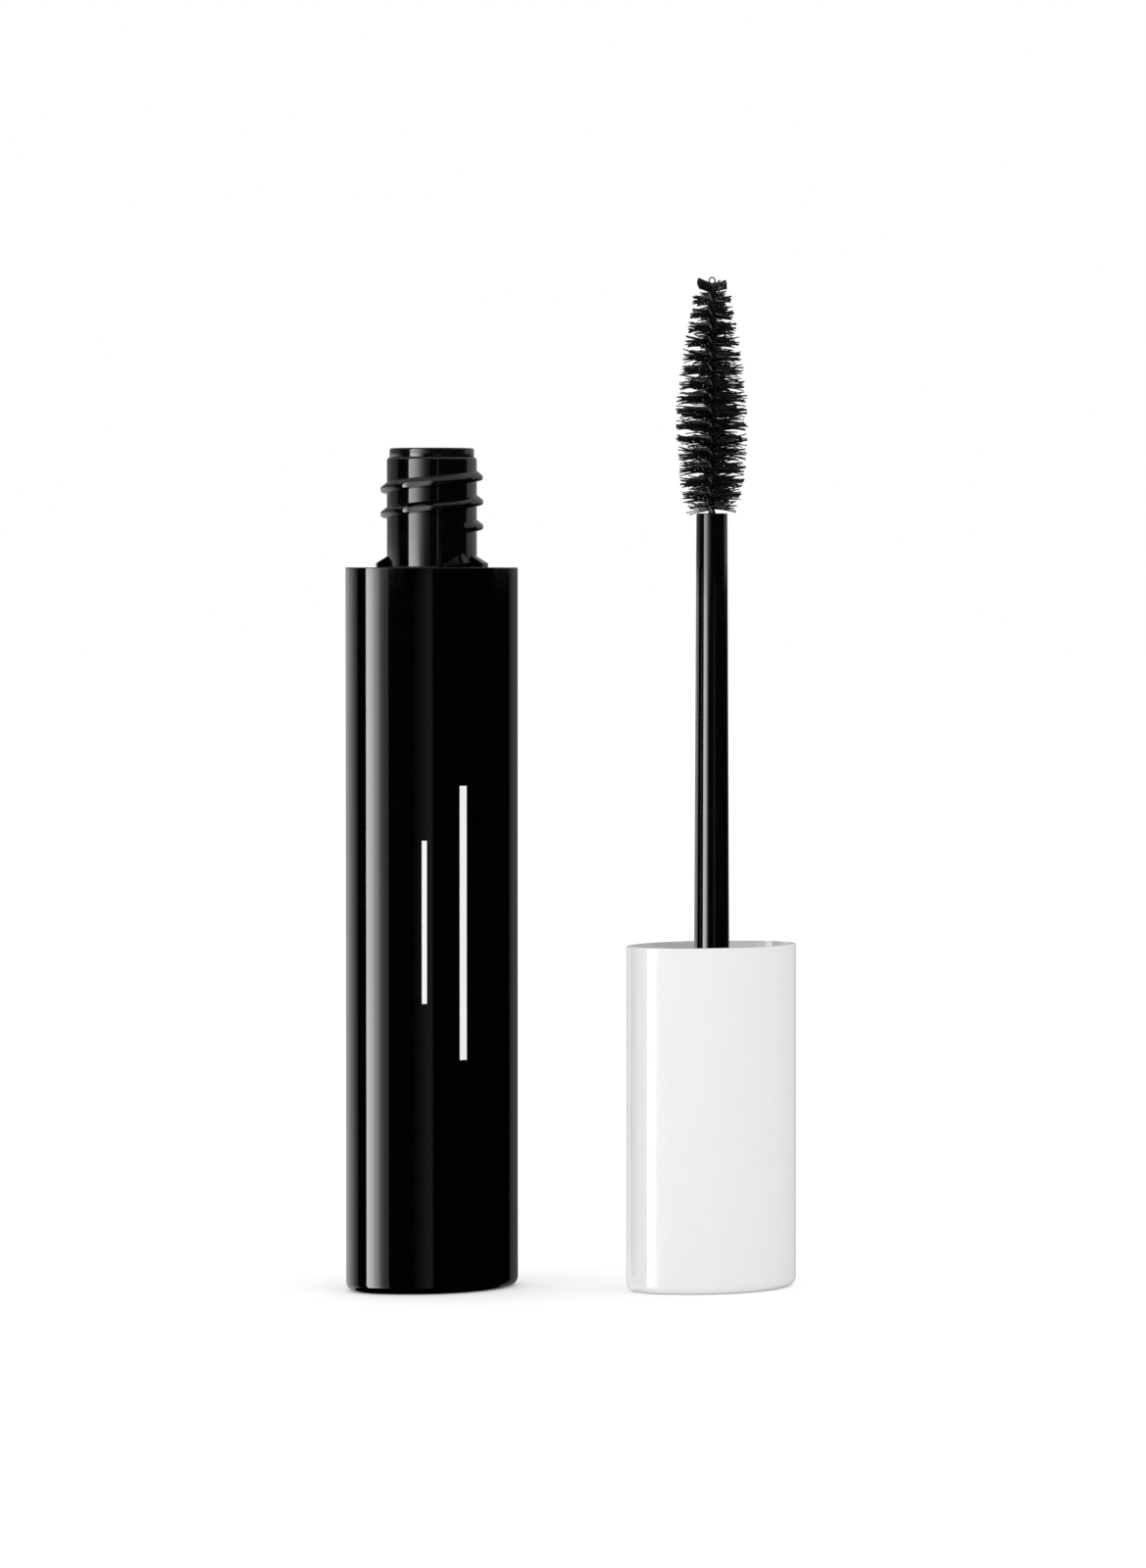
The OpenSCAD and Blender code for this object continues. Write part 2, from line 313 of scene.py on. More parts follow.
def wet_mascara():
    """Thick wet formula, lumpy where the brush has dragged through it."""
    finish = Finish("wet_mascara", roughness=0.2, ior=1.42)
    finish.colour(finish.noise(1.5), (0.3, 0.0015), (0.7, 0.005))
    finish.roughness(finish.noise(3, 5), (0.35, 0.08), (0.7, 0.4))
    lumps = finish.bump(finish.noise(0.9, 4, 0.6), 0.25, 0.8)
    finish.bump(finish.noise(4, 4), 0.03, 0.6, lumps)
    return finish.material


def glossy_white():
    """White cap, polished, very slightly cool, with the swell of the mould."""
    finish = Finish("glossy_white", roughness=0.08, specular=0.3)
    finish.colour(finish.noise(0.35, 2), (0.3, (0.768, 0.774, 0.778)), (0.7, (0.782, 0.787, 0.790)))
    finish.roughness(finish.noise(3, 6, 0.6), (0.35, 0.06), (0.72, 0.11), (0.82, 0.2))
    swell = finish.bump(finish.noise(0.11, 1), 0.006, 0.5)
    finish.bump(finish.noise(2.2, 2), 0.0005, 0.5, swell)
    return finish.material


def natural_white():
    """Liner in plain white, satin, with turning lines from the mould's thread core."""
    finish = Finish("natural_white", roughness=0.3)
    finish.colour(finish.noise(0.6), (0.3, (0.83, 0.835, 0.83)), (0.7, (0.88, 0.88, 0.87)))
    finish.roughness(finish.noise(3), (0.3, 0.24), (0.7, 0.4))
    finish.bump(finish.noise(3, 3, 0.5, (0.3, 0.3, 3)), 0.004, 0.6)
    return finish.material


def seal_grey():
    """Soft foamed seal with fine closed pores."""
    finish = Finish("seal_grey", roughness=0.6)
    finish.colour(finish.noise(5), (0.3, 0.22), (0.7, 0.34))
    finish.roughness(finish.noise(4), (0.3, 0.5), (0.7, 0.75))
    finish.bump(finish.noise(8, 4), 0.02, 0.8)
    return finish.material


def stem_black():
    """Glossy stem with faint draw lines along it."""
    finish = Finish("stem_black", roughness=0.06)
    finish.colour(finish.noise(0.8), (0.3, 0.0008), (0.7, 0.0018))
    finish.roughness(finish.noise(2.5, 5, 0.6, (3, 3, 0.3)), (0.35, 0.045), (0.7, 0.1), (0.82, 0.18))
    finish.bump(finish.noise(1.5, 3, 0.5, (3, 3, 0.1)), 0.0008, 0.5)
    return finish.material


def brush_wire():
    """Stainless wire, darkened by the dried film of mascara on it."""
    finish = Finish("brush_wire", roughness=0.35, metallic=0.85)
    finish.colour(finish.noise(2.5, 5), (0.35, 0.015), (0.62, 0.05), (0.75, 0.16))
    finish.roughness(finish.noise(4), (0.3, 0.25), (0.7, 0.5))
    finish.bump(finish.noise(6, 4, 0.5, (1, 1, 0.4)), 0.01, 0.7)
    return finish.material


def bristle_black():
    """Black nylon fibre with a dull film here and there."""
    finish = Finish("bristle_black", roughness=0.34)
    finish.colour(finish.noise(1.2, 4), (0.35, (0.002, 0.002, 0.0026)), (0.7, (0.011, 0.011, 0.013)))
    finish.roughness(finish.noise(2.5, 4), (0.3, 0.22), (0.7, 0.5))
    finish.bump(finish.noise(7, 3), 0.006, 0.6)
    return finish.material


def print_white():
    """Screen-printed white ink, slightly uneven in cover."""
    finish = Finish("print_white", roughness=0.4)
    finish.colour(finish.noise(4, 4), (0.3, 0.78), (0.7, 0.88))
    finish.roughness(finish.noise(5), (0.3, 0.34), (0.7, 0.5))
    finish.bump(finish.noise(10, 3), 0.003, 0.6)
    return finish.material


# ---------------------------------------------------------------- modelling tools

def fresh(bm, before):
    """Points added to the mesh since before was taken."""
    return [v for v in bm.verts if v not in before]


def edges_of(points):
    """The edges at these points, each listed once, in the order they are met."""
    return list(dict.fromkeys(e for v in points for e in v.link_edges))


def oval_face(bm, inset, z):
    """Draws the oval outline by spinning one point along its four arcs, and fills it."""
    before = set(bm.verts)
    end_r = END_R - inset
    point = bm.verts.new((END_X + end_r * math.cos(JOIN), -end_r * math.sin(JOIN), z))
    side_turn = math.pi - 2 * JOIN
    arcs = (((END_X, 0, z), 2 * JOIN, END_STEPS), ((0, -SIDE_Y, z), side_turn, SIDE_STEPS),
            ((-END_X, 0, z), 2 * JOIN, END_STEPS), ((0, SIDE_Y, z), side_turn, SIDE_STEPS))
    for centre, turn, steps in arcs:
        spun = bmesh.ops.spin(bm, geom=[point], cent=centre, axis=(0, 0, 1), dvec=(0, 0, 0),
                              angle=turn, steps=steps)
        point = next(g for g in spun["geom_last"] if isinstance(g, bmesh.types.BMVert))
    bmesh.ops.remove_doubles(bm, verts=fresh(bm, before), dist=1e-3)
    return bmesh.ops.contextual_create(bm, geom=edges_of(fresh(bm, before)))["faces"][0]


def draw_out(bm, face, height):
    """Extrudes a level face up or down, and returns its new end."""
    made = bmesh.ops.extrude_face_region(bm, geom=[face])["geom"]
    moved = [g for g in made if isinstance(g, bmesh.types.BMVert)]
    bmesh.ops.translate(bm, vec=(0, 0, height), verts=moved)
    return next(g for g in made if isinstance(g, bmesh.types.BMFace))


def end_face(bm, z):
    """The level face at this height."""
    return next(f for f in bm.faces if all(abs(v.co.z - z) < 1e-3 for v in f.verts))


def round_rim(bm, z, radius, segments):
    """Rounds the outline at this height."""
    rim = list(end_face(bm, z).edges)
    bmesh.ops.bevel(bm, geom=rim, offset=radius, offset_type="OFFSET", segments=segments, profile=0.5,
                    affect="EDGES", material=-1)


def shell(height, foot_round, top_round, wall, cavity):
    """Oval block with rounded ends, hollowed from z = 0 to the height of its cavity."""
    bm = bmesh.new()
    draw_out(bm, oval_face(bm, 0, 0), height)
    bmesh.ops.recalc_face_normals(bm, faces=bm.faces)
    round_rim(bm, 0, foot_round, 8)
    round_rim(bm, height, top_round, 8)
    foot = end_face(bm, 0)
    bmesh.ops.inset_region(bm, faces=[foot], thickness=wall - foot_round, use_even_offset=True,
                           use_boundary=True)
    draw_out(bm, foot, cavity)
    bmesh.ops.delete(bm, geom=[foot], context="FACES_ONLY")
    return bm


def open_hole(bm, z_low, z_high, radius):
    """Replaces the level faces at two heights with rings, and joins them with a round hole."""
    rims = []
    for z in (z_low, z_high):
        face = end_face(bm, z)
        outline = list(face.edges)
        bmesh.ops.delete(bm, geom=[face], context="FACES_ONLY")
        lined_up = Matrix.Rotation(-JOIN, 4, "Z")
        circle = bmesh.ops.create_circle(bm, cap_ends=False, radius=radius, segments=ROUND_STEPS,
                                         matrix=Matrix.Translation((0, 0, z)) @ lined_up)["verts"]
        rim = edges_of(circle)
        bmesh.ops.bridge_loops(bm, edges=outline + rim)
        rims += rim
    bmesh.ops.bridge_loops(bm, edges=rims)


def turned(bm, profile, closed=False):
    """Turns a profile of (radius, height, rounding) corners round the Z axis."""
    before = set(bm.verts)
    corners = [bm.verts.new((radius, 0, height)) for radius, height, _ in profile]
    pairs = list(zip(corners, corners[1:]))
    if closed:
        pairs.append((corners[-1], corners[0]))
    for pair in pairs:
        bm.edges.new(pair)
    for rounding in sorted({corner[2] for corner in profile if corner[2]}):
        chosen = [v for v, corner in zip(corners, profile) if corner[2] == rounding]
        bmesh.ops.bevel(bm, geom=chosen, offset=rounding, offset_type="OFFSET", segments=4, profile=0.5,
                        affect="VERTICES", material=-1)
    line = fresh(bm, before)
    bmesh.ops.spin(bm, geom=line + edges_of(line), cent=(0, 0, 0), axis=(0, 0, 1), dvec=(0, 0, 0),
                   angle=math.tau, steps=ROUND_STEPS, use_merge=True)
    bmesh.ops.remove_doubles(bm, verts=fresh(bm, before), dist=1e-4)


def sweep(bm, section, start, turn, steps, rise=0.0):
    """Sweeps a closed (radius, height) section round the axis, in degrees, and returns its points."""
    before = set(bm.verts)
    face = bm.faces.new([bm.verts.new((radius, 0, height)) for radius, height in section])
    bmesh.ops.rotate(bm, verts=face.verts, cent=(0, 0, 0),
                     matrix=Matrix.Rotation(math.radians(start), 3, "Z"))
    bmesh.ops.spin(bm, geom=[face], cent=(0, 0, 0), axis=(0, 0, 1), dvec=(0, 0, rise / steps),
                   angle=math.radians(turn), steps=steps)
    made = fresh(bm, before)
    faces = dict.fromkeys(f for v in made for f in v.link_faces)
    bmesh.ops.recalc_face_normals(bm, faces=list(faces))
    return made


def screw_thread(bm, section, start, z, turns, root_r, end_share, end_turn):
    """Sweeps a thread section up a helix. Its ends sink towards root_r over end_turn degrees."""
    lifted = [(radius, z + height) for radius, height in section]
    points = sweep(bm, lifted, start, 360 * turns, round(90 * turns), PITCH * turns)
    for v in points:
        angle = math.degrees(math.atan2(v.co.y, v.co.x)) - start
        whole = round((v.co.z - z) / PITCH - angle / 360)
        along = angle + 360 * whole
        left = min(along, 360 * turns - along)
        share = min(1, end_share + (1 - end_share) * max(left, 0) / end_turn)
        radius = math.hypot(v.co.x, v.co.y)
        wanted = root_r + (radius - root_r) * share
        v.co.x *= wanted / radius
        v.co.y *= wanted / radius
    return points


def flatten_crest(points, middle, half, crest_r):
    """Cuts a thread's crest to a flat over a stretch of angle, as where a mould parts."""
    for v in points:
        radius = math.hypot(v.co.x, v.co.y)
        off = (math.degrees(math.atan2(v.co.y, v.co.x)) - middle + 180) % 360 - 180
        if abs(off) < half:
            limit = crest_r * math.cos(math.radians(half)) / math.cos(math.radians(off)) - 0.05
            if radius > limit:
                v.co.x *= limit / radius
                v.co.y *= limit / radius


def bar(bm, size, centre, edge, angle=0.0):
    """Small bar with rounded edges, turned round the Z axis by an angle in degrees."""
    made = bmesh.ops.create_cube(bm, size=1)["verts"]
    bmesh.ops.scale(bm, vec=size, verts=made)
    before = set(bm.verts) - set(made)
    bmesh.ops.bevel(bm, geom=edges_of(made), offset=edge, offset_type="OFFSET", segments=3, profile=0.5,
                    affect="EDGES", material=-1)
    made = fresh(bm, before)
    bmesh.ops.translate(bm, vec=centre, verts=made)
    bmesh.ops.rotate(bm, verts=made, cent=(0, 0, 0), matrix=Matrix.Rotation(math.radians(angle), 3, "Z"))


def stand_beside(bm):
    """Turns a cap-side piece over and stands it in its place beside the bottle."""
    bmesh.ops.rotate(bm, verts=bm.verts, cent=(0, 0, 0), matrix=Matrix.Rotation(math.pi, 3, "X"))
    bmesh.ops.translate(bm, vec=(CAP_AXIS.x, CAP_AXIS.y, CAP_H), verts=bm.verts)


def finished(bm, name, body, material, slot, *nodes, crease=35):
    """Makes the piece: its mesh in metres, its finish, the body it rides on and the nodes it stands for."""
    bmesh.ops.recalc_face_normals(bm, faces=bm.faces)
    bmesh.ops.scale(bm, vec=(MM, MM, MM), verts=bm.verts)
    mesh = bpy.data.meshes.new(name)
    bm.to_mesh(mesh)
    bm.free()
    mesh.polygons.foreach_set("use_smooth", [True] * len(mesh.polygons))
    mesh.set_sharp_from_angle(angle=math.radians(crease))
    mesh.materials.append(material)
    piece = bpy.data.objects.new(name, mesh)
    bpy.context.scene.collection.objects.link(piece)
    even = piece.modifiers.new("even_shading", "WEIGHTED_NORMAL")
    even.keep_sharp = True
    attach(piece, body)
    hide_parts(*nodes)
    return piece


# ---------------------------------------------------------------- bottle

def sleeve():
    """Oval sleeve, open at its foot, with a flat shoulder that the vial's neck stands through."""
    bm = shell(BODY_H, BASE_FILLET, EDGE_ROUND, SLEEVE_WALL, BODY_H - SHOULDER_T)
    open_hole(bm, BODY_H - SHOULDER_T, BODY_H, VIAL_R + SLIP)
    return finished(bm, "sleeve_shell", "bottle", polished_black(), "black_gloss", "outer_sleeve")


def base_closure():
    """Flush plug in the sleeve's base. Its rounded edge leaves a fine seam, and its ring carries the vial."""
    bm = bmesh.new()
    draw_out(bm, oval_face(bm, SLEEVE_WALL + PLUG_GAP, 0), PLUG_T)
    bmesh.ops.recalc_face_normals(bm, faces=bm.faces)
    round_rim(bm, 0, PLUG_ROUND, 3)
    foot = PLUG_T - 0.1
    turned(bm, [(PLUG_RING_BORE, foot, 0), (PLUG_RING_R, foot, 0), (PLUG_RING_R, PLUG_RING_END, 0.1),
                (PLUG_RING_BORE, PLUG_RING_END, 0.1)], closed=True)
    return finished(bm, "base_closure", "bottle", satin_black(), "soft_black", "base_plug")


def neck_flange(bm, turn):
    """One of the two wedge sectors at the foot of the neck: a rising ramp, a stop face and a plain sector."""
    low = BODY_H - 0.1
    edge = BODY_H + FLANGE_EDGE
    inner = NECK_R - 0.2
    plain = [(inner, low), (FLANGE_R, low), (FLANGE_R, edge), (inner, BODY_H + FLANGE_TOP + 0.12)]
    sweep(bm, plain, PLAIN_START + turn, FLANGE_END - PLAIN_START, 24)
    ramp = [(inner, low), (FLANGE_R - 0.12, low), (FLANGE_R - 0.12, edge + 0.1),
            (inner, BODY_H + RAMP_TOP + 0.12)]
    for v in sweep(bm, ramp, RAMP_START + turn, RAMP_END - RAMP_START, 16):
        along = (math.degrees(math.atan2(v.co.y, v.co.x)) - turn - RAMP_START + 1) % 360 - 1
        if v.co.z > BODY_H:
            v.co.z = BODY_H + (v.co.z - BODY_H) * max(0.04, along / (RAMP_END - RAMP_START))


def threaded_vial():
    """Round inner vial with its neck: the thread and its two flats, mould seams and the flange's sectors."""
    bm = bmesh.new()
    shoulder = BODY_H - VIAL_SHOULDER_T
    floor = VIAL_BASE + VIAL_FLOOR_T
    turned(bm, [(0, VIAL_BASE, 0), (VIAL_R, VIAL_BASE, 0.5), (VIAL_R, BODY_H + 0.02, 0.1),
                (NECK_R, BODY_H + 0.02, 0.12), (NECK_R, NECK_END - 0.22, 0.05),
                (NECK_R - 0.18, NECK_END, 0.05), (NECK_BORE, NECK_END, 0.1),
                (NECK_BORE, shoulder, 0), (VIAL_BORE, shoulder, 0),
                (VIAL_BORE, floor, 0.5), (0, floor, 0)])
    ridge = [(NECK_R - 0.12, -0.62), (NECK_R + 0.12, -0.56), (CREST_R - 0.2, -0.49),
             (CREST_R - 0.06, -0.43), (CREST_R, -0.3), (CREST_R, -0.06), (CREST_R - 0.05, 0.06),
             (NECK_R + 0.08, 0.52), (NECK_R - 0.12, 0.66)]
    points = screw_thread(bm, ridge, THREAD_ANGLE, THREAD_Z, THREAD_TURNS, NECK_R - 0.12, 0.45, 15)
    flatten_crest(points, FLAT_ANGLE, FLAT_HALF, CREST_R)
    flatten_crest(points, FLAT_ANGLE + 180, FLAT_HALF, CREST_R)
    seam_h = NECK_END - BODY_H - 0.3
    for turn in (0, 180):
        neck_flange(bm, turn)
        bar(bm, (SEAM_PROUD, SEAM_WIDTH, seam_h), (NECK_R - 0.02, 0, BODY_H + seam_h / 2), 0.03,
            SEAM_ANGLE + turn)
    return finished(bm, "threaded_vial", "bottle", neck_black(), "soft_black", "vial", crease=32)


def wiper_insert():
    """Wiper pushed into the neck: a flange on its end, a throat and a thin wiping lip."""
    low = wiper_low.z
    top = wiper_high.z
    bm = bmesh.new()
    turned(bm, [(WIPE_R, low, 0.05), (WIPE_R + 0.5, low, 0.1), (NECK_BORE - 0.02, low + 2.6, 0.4),
                (NECK_BORE - 0.02, NECK_END, 0), (WIPER_R, NECK_END, 0.06), (WIPER_R, top, 0.2),
                (THROAT_R + 0.35, top, 0.1), (THROAT_R, top - 0.45, 0.15), (THROAT_R, low + 3.4, 0.6),
                (WIPE_R, low + 0.6, 0.1)], closed=True)
    return finished(bm, "wiper_insert", "bottle", wiper_black(), "soft_black", "wiper")


def surface_at(x):
    """Point of the sleeve's front at x, and the angle in degrees that its outward normal points at."""
    y = SIDE_Y - math.sqrt(SIDE_R ** 2 - x ** 2)
    normal = math.degrees(math.atan2(y - SIDE_Y, x))
    return y, normal


def printed_rules():
    """Two plain upright rules printed on the sleeve's front, in place of any wording."""
    bm = bmesh.new()
    for x, (z_low, z_high), width in ((SHORT_RULE_X, SHORT_RULE, SHORT_RULE_WIDTH),
                                      (0.0, LONG_RULE, LONG_RULE_WIDTH)):
        y, normal = surface_at(x)
        before = set(bm.verts)
        bar(bm, (INK_T, width, z_high - z_low), (0, 0, (z_low + z_high) / 2), 0.012, normal)
        bmesh.ops.translate(bm, vec=(x, y, 0), verts=fresh(bm, before))
    return finished(bm, "printed_rules", "bottle", print_white(), "white_gloss")


# ---------------------------------------------------------------- cap

def cap():
    """Oval cap with a rounded closed end and a sharp, open rim."""
    bm = shell(CAP_H, EDGE_ROUND, BASE_FILLET, CAP_WALL, CAP_H - CAP_END)
    stand_beside(bm)
    return finished(bm, "cap_cover", "cap", glossy_white(), "white_gloss", "cap_shell")


def cap_liner():
    """Liner inside the cap: oval collar, thread, stop lugs, side keys and the socket that holds the stem."""
    bm = bmesh.new()
    draw_out(bm, oval_face(bm, CAP_WALL + 2 * SLIP, LINER_FOOT), COLLAR_T)
    open_hole(bm, LINER_FOOT, LINER_FOOT + COLLAR_T, LINER_R - 0.15)
    turned(bm, [(0, STEM_IN + SLIP, 0), (STEM_R + SLIP, STEM_IN + SLIP, 0), (STEM_R + SLIP, LINER_END, 0.1),
                (LINER_BORE, LINER_END, 0.3), (LINER_BORE, LINER_FOOT, 0.1), (LINER_R, LINER_FOOT, 0.1),
                (LINER_R, LINER_END + 1.2, 0.3), (SOCKET_R, LINER_END + 1.2, 0.3),
                (SOCKET_R, STEM_IN + 1.2, 0.3), (0, STEM_IN + 1.2, 0)])
    ridge = [(LINER_BORE + 0.15, -0.52), (5.2, -0.26), (5.14, -0.18), (5.14, 0.18), (5.2, 0.26),
             (LINER_BORE + 0.15, 0.52)]
    screw_thread(bm, ridge, LINER_THREAD_ANGLE, LINER_THREAD_Z, LINER_THREAD_TURNS, LINER_BORE + 0.15,
                 0.3, 25)
    key_x = HALF_LONG - CAP_WALL - SLIP
    lug = [(LINER_BORE - 0.1, 1.1), (LINER_R - 0.1, 1.1), (LINER_R - 0.1, 2.15), (LINER_BORE - 0.1, 2.15)]
    for turn in (0, 180):
        sweep(bm, lug, turn + LUG_ANGLE, LUG_TURN, 6)
        key_place = ((key_x + LINER_R - 0.2) / 2, 0, LINER_FOOT + KEY_MIDDLE)
        bar(bm, (key_x - LINER_R + 0.2, KEY_WIDTH, KEY_LENGTH), key_place, 0.15, turn)
    stand_beside(bm)
    return finished(bm, "cap_liner", "cap", natural_white(), "white_liner", "threaded_liner")


def loose_seal():
    """Washer that rests loose on the stem and is pinched on the end of the neck."""
    bm = bmesh.new()
    low = CAP_H - box_mm("floating_seal")[1].z
    turned(bm, [(STEM_R + SLIP, low, 0.08), (SEAL_R, low, 0.15), (SEAL_R, low + SEAL_T, 0.15),
                (STEM_R + SLIP, low + SEAL_T, 0.08)], closed=True)
    stand_beside(bm)
    return finished(bm, "loose_seal", "seal", seal_grey(), "seal_rubber", "floating_seal")


def wand_stem():
    """Tapering stem with a hole in its end for the brush's wire."""
    bm = bmesh.new()
    hole = 2 * WIRE_R + SLIP
    hole_end = WIRE_IN - STEM_OUT + 0.05
    turned(bm, [(0, STEM_IN, 0), (STEM_R, STEM_IN, 0.15), (STEM_R, 0, 0), (STEM_TIP_R, -STEM_OUT, 0.14),
                (hole, -STEM_OUT, 0.05), (hole, hole_end, 0), (0, hole_end, 0)])
    stand_beside(bm)
    return finished(bm, "wand_stem", "stem", stem_black(), "black_stem", "stem")


# ---------------------------------------------------------------- brush

def brush_radius(height):
    """Radius of the trimmed brush at this height above the stem."""
    if height < SWELL_AT:
        return BRUSH_MAX - (BRUSH_MAX - BRUSH_ROOT) * (1 - height / SWELL_AT) ** 2
    past = (height - SWELL_AT) / (BRUSH_L - SWELL_AT)
    return BRUSH_MAX - (BRUSH_MAX - BRUSH_TIP) * past ** 1.2


def row_angle(height):
    """Direction of the first bristle row at this height: a left-hand spiral, in radians."""
    return math.radians(ROW_ANGLE) - math.tau * (height - TWIST_START) / BRUSH_PITCH


def strands(name, lines, thickness, steps, taper=1.0):
    """Round strands along lines of points above the stem's end, made one mesh."""
    curve = bpy.data.curves.new(name, "CURVE")
    curve.dimensions = "3D"
    curve.bevel_depth = thickness
    curve.bevel_resolution = steps
    curve.use_fill_caps = True
    for line in lines:
        spline = curve.splines.new("POLY")
        spline.points.add(len(line) - 1)
        last = len(line) - 1
        for index, (point, place) in enumerate(zip(spline.points, line)):
            point.co = (CAP_AXIS.x + place[0], CAP_AXIS.y + place[1], BRUSH_BASE + place[2], 1)
            point.radius = 1 + (taper - 1) * index / last
    holder = bpy.data.objects.new(name, curve)
    bpy.context.scene.collection.objects.link(holder)
    bpy.context.view_layer.update()
    mesh = bpy.data.meshes.new_from_object(holder.evaluated_get(bpy.context.evaluated_depsgraph_get()))
    bm = bmesh.new()
    bm.from_mesh(mesh)
    bpy.data.objects.remove(holder)
    bpy.data.curves.remove(curve)
    bpy.data.meshes.remove(mesh)
    bmesh.ops.remove_doubles(bm, verts=bm.verts, dist=1e-4)
    return bm


def wire_line():
    """Folded wire: up one strand of the twist, over the fold at the tip and down the other strand."""
    length = BRUSH_L - FOLD_GAP
    count = 200
    up = []
    for index in range(count + 1):
        height = -WIRE_IN + (length + WIRE_IN) * index / count
        angle = row_angle(height) + math.pi / 2
        up.append((WIRE_R * math.cos(angle), WIRE_R * math.sin(angle), height))
    top = Vector(up[-1])
    fold = []
    for index in range(1, 12):
        lean = math.pi * index / 12
        fold.append((top.x * math.cos(lean), top.y * math.cos(lean), length + 1.3 * WIRE_R * math.sin(lean)))
    down = [(-x, -y, z) for x, y, z in reversed(up)]
    return up + fold + down


def twisted_wire():
    """The folded wire as one rounded strand, twisted with the same turns as the bristles."""
    bm = strands("brush_wire", [wire_line()], WIRE_R, 3)
    return finished(bm, "brush_wire", "cap", brush_wire(), "wire_steel", "wire_core", crease=60)


def fibre(chance, height, angle, reach, lift, spread, curl=1.5):
    """Line of one fibre from the wire outwards. It leans, bends a little and ends at reach."""
    bend = chance.gauss(0, 0.10)
    rise = lift + chance.gauss(0, spread)
    start = height + chance.gauss(0, 0.16)
    line = []
    for index in range(6):
        share = index / 5
        out = FIBRE_ROOT + (reach - FIBRE_ROOT) * share
        turn = angle + bend * share * share
        line.append((out * math.cos(turn), out * math.sin(turn), start + rise * share ** curl))
    return line


def spiral_fibres(chance, low, high, per_turn, phase, cut, spread):
    """Fibres at even steps along one row. cut is their range of length, as a share of the brush's radius."""
    count = round((high - low) / BRUSH_PITCH * per_turn)
    lines = []
    for index in range(count):
        height = low + (high - low) * (index + chance.uniform(0.1, 0.9)) / count
        angle = row_angle(height) + phase + chance.gauss(0, 0.10)
        reach = brush_radius(height) * chance.uniform(*cut)
        lines.append(fibre(chance, height, angle, reach, 0, spread))
    return lines


def bristle_spiral(name, phase, seed, node):
    """One spiral row: fibres fanned out from the turns of the wire, and shorter ones packed at its root."""
    chance = random.Random(seed)
    low, high = ROW_START, BRUSH_L - ROW_GAP
    lines = spiral_fibres(chance, low, high, FIBRES_PER_TURN, phase, (0.93, 1.0), 0.3)
    lines += spiral_fibres(chance, low, high, FIBRES_PER_TURN / 2, phase, (0.72, 0.93), 0.2)
    lines += spiral_fibres(chance, low, high, FIBRES_PER_TURN / 2, phase, (0.35, 0.68), 0.16)
    bm = strands(name, lines, FIBRE_R, 1, 0.72)
    return finished(bm, name, "cap", bristle_black(), "bristle_nylon", node, crease=60)


def bristle_tuft():
    """Last fibres at the tip, clumped to both sides, with one stray fibre looped over the end."""
    chance = random.Random(31)
    right = math.atan2(TO_RIGHT.y, TO_RIGHT.x)
    lines = []
    for side, lift, reach in ((0, 0.35, 1.6), (math.pi, 0.6, 1.62)):
        for _ in range(TUFT_FIBRES):
            height = BRUSH_L - FOLD_GAP + chance.uniform(-0.22, 0.22)
            angle = right + side + chance.gauss(0, 0.3)
            lines.append(fibre(chance, height, angle, reach * chance.uniform(0.9, 1.02), lift, 0.1, 1.0))
    for _ in range(TUFT_SHORT_FIBRES):
        height = BRUSH_L - 1.5 + chance.uniform(-0.3, 0.3)
        lines.append(fibre(chance, height, chance.uniform(0, math.tau), chance.uniform(0.6, 1.1), 0.35, 0.2))
    loop = []
    for index in range(19):
        swing = math.radians(-60 + 300 * index / 18)
        across = 0.32 * math.cos(swing)
        loop.append((TO_RIGHT.x * across, TO_RIGHT.y * across, BRUSH_L - 0.42 + 0.36 * math.sin(swing)))
    lines.append(loop)
    bm = strands("bristle_tuft", lines, FIBRE_R, 1, 0.85)
    return finished(bm, "bristle_tuft", "cap", bristle_black(), "bristle_nylon", "tip_bristles", crease=60)


# ---------------------------------------------------------------- studio

def emitter_material(name, strength, fade=None):
    """Plain light surface. fade gives (place, share) stops along the panel's own X axis."""
    material = bpy.data.materials.new(name)
    material.use_nodes = True
    tree = material.node_tree
    tree.nodes.clear()
    out = tree.nodes.new("ShaderNodeOutputMaterial")
    light = tree.nodes.new("ShaderNodeEmission")
    light.inputs["Strength"].default_value = strength
    tree.links.new(light.outputs["Emission"], out.inputs["Surface"])
    if fade:
        place = tree.nodes.new("ShaderNodeTexCoord")
        split = tree.nodes.new("ShaderNodeSeparateXYZ")
        ramp = tree.nodes.new("ShaderNodeValToRGB")
        tree.links.new(place.outputs["UV"], split.inputs["Vector"])
        tree.links.new(split.outputs["X"], ramp.inputs["Fac"])
        tree.links.new(ramp.outputs["Color"], light.inputs["Color"])
        for index, (spot, share) in enumerate(fade):
            stop = ramp.color_ramp.elements[index] if index < 2 else ramp.color_ramp.elements.new(spot)
            stop.position = spot
            stop.color = (share, share, share, 1)
    return material


def toward(azimuth):
    """Level direction at this angle from the camera's side, in radians and growing to the right."""
    return TO_CAMERA * math.cos(azimuth) + TO_RIGHT * math.sin(azimuth)


def panel_object(name, bm, strength, fade=None):
    """Makes a panel's mesh an emitter that shows only in reflections."""
    mesh = bpy.data.meshes.new(name)
    bm.to_mesh(mesh)
    bm.free()
    mesh.materials.append(emitter_material(name, strength, fade))
    panel = bpy.data.objects.new(name, mesh)
    bpy.context.scene.collection.objects.link(panel)
    panel.visible_camera = False
    panel.visible_diffuse = False
    panel.visible_shadow = False


